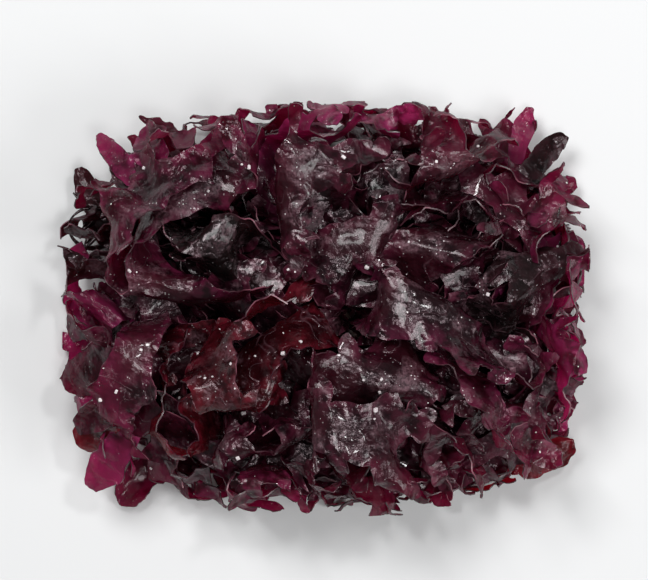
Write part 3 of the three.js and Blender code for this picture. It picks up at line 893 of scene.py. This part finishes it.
@dataclass
class SaltGrains:
    """Grains of sea salt lying on the blades, a few coarse and most fine."""

    finish: bpy.types.Material
    blades: BVHTree
    count: int = 300
    finest: float = 0.12 * MM
    coarsest: float = 1.1 * MM
    seed: int = 5

    def build(self) -> bpy.types.Object:
        """Models the grains and puts them where something falling on the tuft would lie.

        Returns:
            The finished piece.
        """
        draw = random.Random(self.seed)
        tree = self.blades
        grain = self._grain()
        grains = []
        low, high = CAD_BOX
        while len(grains) < self.count:
            start = Vector((draw.uniform(low.x, high.x), draw.uniform(low.y, high.y), high.z + 0.01))
            place, normal, _, _ = tree.ray_cast(start, Vector((0, 0, -1)))
            size = self.finest + (self.coarsest - self.finest) * draw.random() ** 7
            spin = Euler((draw.uniform(-0.3, 0.3), draw.uniform(-0.3, 0.3), draw.uniform(0, 6.28)))
            if place is None or abs(normal.z) < 0.5:
                continue
            if normal.z < 0:
                normal = -normal
            turn = normal.to_track_quat("Z", "Y").to_matrix() @ spin.to_matrix()
            copy = grain.copy()
            copy.data = grain.data.copy()
            stretch = Matrix.Diagonal((size, size * draw.uniform(0.6, 1), size * draw.uniform(0.5, 0.9)))
            copy.data.transform(Matrix.Translation(place + normal * size * 0.15) @ (turn @ stretch).to_4x4())
            bpy.context.scene.collection.objects.link(copy)
            grains.append(copy)
        bpy.data.objects.remove(grain)
        select_only(*grains)
        bpy.ops.object.join()
        piece = bpy.context.active_object
        piece.name = "salt_grains"
        piece.data.materials.append(self.finish)
        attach(piece, "root")
        return piece

    def _grain(self) -> bpy.types.Object:
        """One grain, a cube a metre wide with its edges broken."""
        bpy.ops.mesh.primitive_cube_add(size=1.0)
        grain = bpy.context.active_object
        apply_modifier(grain, "BEVEL", width=0.14, segments=1)
        return grain


def height_over(tree: BVHTree, x: float, y: float) -> float:
    """How high the top of the heap is at a place, or the height of a low blade where nothing lies there."""
    place, _, _, _ = tree.ray_cast(Vector((x, y, CAD_BOX[1].z + 10 * MM)), Vector((0, 0, -1)))
    return place.z if place is not None else 12 * MM


@dataclass(frozen=True)
class LobeShape:
    """A lobe's outline: where it leaves the heap, where it ends, how wide it is and its tint."""

    root: tuple[float, float]
    tip: tuple[float, float]
    width: float
    tint: Tint


@dataclass
class Lobe(Frond):
    """The end of a frond that stands out of the heap, drawn from a flat sheet."""

    shape: LobeShape = LobeShape((0.0, 0.0), (0.01, 0.0), 0.004, Tint.WINE)
    root_height: float = 10 * MM
    buried: float = 1.5 * MM
    leaflets: float = 0.06
    leaflet_length: float = 2.2 * MM

    def build(self) -> bpy.types.Object:
        """Models the lobe.

        Returns:
            The finished piece.
        """
        piece = self.model()
        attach(piece, "root")
        return piece

    def _one_skin(self) -> bpy.types.Object:
        """A sheet that widens from its root, ends in a ragged tip and sags outwards."""
        bpy.ops.mesh.primitive_grid_add(x_subdivisions=6, y_subdivisions=3, size=1.0)
        piece = bpy.context.active_object
        piece.name = self.node
        places = points_of(piece.data)
        along = places[:, 0] + 0.5
        across = places[:, 1] * np.interp(along, (0.0, 0.3, 0.65, 0.85, 1.0), (0.5, 0.95, 1.1, 0.8, 0.3))
        across = across * np.array([self.draw.uniform(0.75, 1.2) for _ in across])
        root = np.array(self.shape.root)
        way = np.array(self.shape.tip) - root
        side = np.array((-way[1], way[0])) / np.hypot(*way)
        flat = root + np.outer(along, way) + np.outer(across * self.shape.width, side)
        start = max(self.root_height - self.buried, 2 * MM)
        end = 0.5 * start + 1 * MM
        cup = self.draw.choice((-1.0, 1.0)) * 0.5 * self.shape.width * (2 * across) ** 2
        height = start + (end - start) * along + cup * along
        set_points(piece.data, np.column_stack((flat, np.maximum(height, 0.5 * MM))))
        return piece


LOBES = (
    LobeShape((-47.5 * MM, 17.0 * MM), (-55.4 * MM, 31.5 * MM), 6.5 * MM, Tint.SLATE),
    LobeShape((-40.5 * MM, 25.5 * MM), (-49.7 * MM, 39.0 * MM), 5.0 * MM, Tint.MAGENTA),
    LobeShape((-34.5 * MM, 28.0 * MM), (-40.3 * MM, 39.6 * MM), 7.5 * MM, Tint.MAGENTA),
    LobeShape((-26.5 * MM, 33.0 * MM), (-40.5 * MM, 42.8 * MM), 4.0 * MM, Tint.BURGUNDY),
    LobeShape((-38.0 * MM, 23.0 * MM), (-46.0 * MM, 35.0 * MM), 6.5 * MM, Tint.SLATE),
    LobeShape((-51.5 * MM, -3.0 * MM), (-58.2 * MM, 4.0 * MM), 4.5 * MM, Tint.MAGENTA),
    LobeShape((-43.5 * MM, -10.5 * MM), (-57.8 * MM, -17.5 * MM), 10.0 * MM, Tint.BURGUNDY),
    LobeShape((-42.0 * MM, -27.5 * MM), (-51.5 * MM, -40.0 * MM), 8.5 * MM, Tint.MAGENTA),
    LobeShape((-44.0 * MM, -24.0 * MM), (-55.0 * MM, -30.0 * MM), 8.0 * MM, Tint.RUBY),
    LobeShape((47.5 * MM, 13.0 * MM), (57.6 * MM, 15.2 * MM), 4.5 * MM, Tint.MAGENTA),
    LobeShape((48.5 * MM, -4.0 * MM), (58.2 * MM, -7.9 * MM), 6.0 * MM, Tint.WINE),
    LobeShape((50.5 * MM, -17.0 * MM), (58.2 * MM, -15.6 * MM), 4.0 * MM, Tint.WINE),
    LobeShape((49.5 * MM, -17.5 * MM), (56.2 * MM, -23.5 * MM), 6.5 * MM, Tint.WINE),
    LobeShape((41.5 * MM, 29.0 * MM), (46.0 * MM, 44.6 * MM), 5.5 * MM, Tint.MAGENTA),
    LobeShape((44.0 * MM, 28.0 * MM), (54.0 * MM, 39.0 * MM), 5.5 * MM, Tint.SLATE),
    LobeShape((38.0 * MM, 32.0 * MM), (41.5 * MM, 42.5 * MM), 5.5 * MM, Tint.WINE),
    LobeShape((47.0 * MM, 25.0 * MM), (56.8 * MM, 27.8 * MM), 5.0 * MM, Tint.WINE),
    LobeShape((43.0 * MM, -36.0 * MM), (56.3 * MM, -30.2 * MM), 9.0 * MM, Tint.RUBY),
    LobeShape((-40.0 * MM, -19.0 * MM), (-55.0 * MM, -26.5 * MM), 8.0 * MM, Tint.BURGUNDY),
    LobeShape((-36.0 * MM, -32.0 * MM), (-46.0 * MM, -44.5 * MM), 7.5 * MM, Tint.WINE),
)


@dataclass(frozen=True)
class Tendril:
    """A thread-like branchlet: where it leaves the heap, where it heads, how far it goes and how it curls."""

    root: tuple[float, float]
    heading: float
    length: float
    turn: float
    thickness: float = 0.9 * MM


@dataclass
class Tendrils:
    """The curly branchlets that stand out of the heap on its left."""

    finish: bpy.types.Material
    blades: BVHTree
    steps: int = 14
    buried: float = 1.5 * MM
    droop: float = 0.25
    threads: tuple[Tendril, ...] = (
        Tendril((-50.0 * MM, 21.0 * MM), 152, 7.5 * MM, -25, 1.5 * MM),
        Tendril((-49.5 * MM, 22.0 * MM), 165, 9.0 * MM, 85, 1.2 * MM),
        Tendril((-50.5 * MM, 19.5 * MM), 200, 6.0 * MM, 60, 2.1 * MM),
        Tendril((-48.5 * MM, 14.5 * MM), 218, 12.5 * MM, -135, 1.7 * MM),
        Tendril((-53.5 * MM, 10.8 * MM), 130, 6.0 * MM, 40, 1.2 * MM),
        Tendril((-51.0 * MM, 17.5 * MM), 235, 6.5 * MM, 30, 2.2 * MM),
        Tendril((-49.5 * MM, 18.5 * MM), 255, 7.0 * MM, -40, 1.9 * MM),
        Tendril((48.0 * MM, 17.0 * MM), 20, 8.0 * MM, 75, 1.1 * MM),
        Tendril((20.0 * MM, 36.0 * MM), 70, 8.0 * MM, -80, 1.1 * MM),
    )

    def build(self) -> bpy.types.Object:
        """Models the tendrils as one piece.

        Returns:
            The finished piece.
        """
        threads = [self._thread(thread) for thread in self.threads]
        select_only(*threads)
        bpy.ops.object.join()
        piece = bpy.context.active_object
        piece.name = "tendrils"
        piece.data.materials.append(self.finish)
        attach(piece, "root")
        return piece

    def _thread(self, thread: Tendril) -> bpy.types.Object:
        """Models one tendril, rooted in the blade under its start."""
        at = Vector((*thread.root, max(height_over(self.blades, *thread.root) - self.buried, 1 * MM)))
        curve = bpy.data.curves.new("thread", "CURVE")
        curve.dimensions = "3D"
        curve.bevel_depth = thread.thickness / 2
        curve.bevel_resolution = 2
        curve.use_fill_caps = True
        line = curve.splines.new("POLY")
        line.points.add(self.steps)
        step = thread.length / self.steps
        for i in range(self.steps + 1):
            share = i / self.steps
            line.points[i].co = (*at, 1.0)
            line.points[i].radius = 1.0 - 0.75 * share
            heading = math.radians(thread.heading + thread.turn * share)
            rise = 0.9 * (1 - share) - self.droop
            at = at + Vector((math.cos(heading), math.sin(heading), rise)).normalized() * step
        made = bpy.data.objects.new("thread", curve)
        bpy.context.scene.collection.objects.link(made)
        select_only(made)
        bpy.ops.object.convert(target="MESH")
        bpy.ops.object.shade_smooth()
        return bpy.context.active_object


@dataclass
class Studio:
    """The floor, the lamps and the camera, which looks straight down as the photograph does."""

    pixel: float = 0.22 * MM
    image: tuple[int, int] = (648, 580)
    tuft_at: tuple[float, float] = (323.0, 308.0)
    camera_height: float = 0.95
    focus_height: float = 20 * MM
    sensor: float = 36.0
    floor_size: float = 3.0
    lamps: tuple = (
        ("key", (-0.26, 0.38, 0.80), 0.34, 6.5),
        ("fill", (0.60, -0.20, 0.55), 0.34, 3.2),
        ("overhead", (0.12, -0.16, 1.10), 0.22, 2.6),
        ("glint", (0.20, 0.24, 0.70), 0.07, 1.2),
    )

    def build(self) -> None:
        """Makes the floor, lamps and camera."""
        self._floor()
        for name, place, size, power in self.lamps:
            self._lamp(name, Vector(place), size, power)
        self._sky()
        self._camera()
        bpy.context.scene.view_settings.view_transform = "Standard"

    def _floor(self) -> None:
        """A floor that isn't part of the tuft."""
        bpy.ops.mesh.primitive_plane_add(size=self.floor_size, location=(0, 0, CAD_BOX[0].z - 0.02 * MM))
        floor = bpy.context.active_object
        floor.name = "floor"
        floor.data.materials.append(FloorFinish().material())

    def _lamp(self, name: str, place: Vector, size: float, power: float) -> None:
        """A square soft lamp that faces the tuft.

        Args:
            name: its name.
            place: where it hangs.
            size: its side.
            power: its power in watts.
        """
        lamp = bpy.data.lights.new(name, "AREA")
        lamp.size = size
        lamp.energy = power
        holder = bpy.data.objects.new(name, lamp)
        holder.location = place
        holder.rotation_euler = (-place).to_track_quat("-Z", "Y").to_euler()
        bpy.context.scene.collection.objects.link(holder)

    def _sky(self) -> None:
        """An even pale surround."""
        world = bpy.data.worlds.new("studio")
        world.use_nodes = True
        world.node_tree.nodes["Background"].inputs["Color"].default_value = (1, 1, 1, 1)
        world.node_tree.nodes["Background"].inputs["Strength"].default_value = 0.17
        bpy.context.scene.world = world

    def _camera(self) -> None:
        """A camera over the tuft, with its top edge towards +Y."""
        centre = Vector((
            (self.image[0] / 2 - self.tuft_at[0]) * self.pixel,
            (self.tuft_at[1] - self.image[1] / 2) * self.pixel,
            self.focus_height,
        ))
        camera = bpy.data.cameras.new("camera")
        camera.sensor_width = self.sensor
        distance = self.camera_height - self.focus_height
        camera.lens = self.sensor * distance / (self.image[0] * self.pixel)
        holder = bpy.data.objects.new("camera", camera)
        holder.location = (centre.x, centre.y, self.camera_height)
        bpy.context.scene.collection.objects.link(holder)
        bpy.context.scene.camera = holder


def main() -> None:
    """Builds the tuft and its studio, piece by piece."""
    logging.basicConfig(level=logging.INFO, format="%(name)s: %(message)s")
    rim = RimFinish().material()
    blades = []
    for node in sorted(name for name in frame["nodes"] if name.startswith("frond")):
        number = int(node[-2:])
        finish = BladeFinish(tint_of(number), float(number)).material()
        blades.append(Frond(node, finish, rim, seed=number).build())
        LOG.info("%s: %d faces, %s", blades[-1].name, len(blades[-1].data.polygons), tint_of(number).name.lower())
    hidden = BladeFinish(Tint.BURGUNDY, 60.0, shine_through=0.12, outer_glow=0.3).material()
    for lay in (Lay.TURNED, Lay.MIRRORED, Lay.FLIPPED):
        under = UnderBlades(lay, hidden, rim).build()
        LOG.info("%s: %d faces", under.name, len(under.data.polygons))
    holdfast = Holdfast(HoldfastFinish().material()).build()
    LOG.info("%s: %d faces", holdfast.name, len(holdfast.data.polygons))
    tree = search_tree(blades)
    for number, shape in enumerate(LOBES, 1):
        finish = BladeFinish(shape.tint, 80.0 + number).material()
        lobe = Lobe(f"lobe_{number:02d}", finish, rim, 500 + number, shape=shape,
                    root_height=height_over(tree, *shape.root)).build()
        LOG.info("%s: %d faces, %s", lobe.name, len(lobe.data.polygons), shape.tint.name.lower())
    tendrils = Tendrils(BladeFinish(Tint.SLATE, 70.0, shine_through=0.1).material(), tree).build()
    LOG.info("%s: %d faces", tendrils.name, len(tendrils.data.polygons))
    salt = SaltGrains(SaltFinish().material(), tree).build()
    LOG.info("%s: %d faces", salt.name, len(salt.data.polygons))
    Studio().build()


if __name__ == "__main__":
    main()
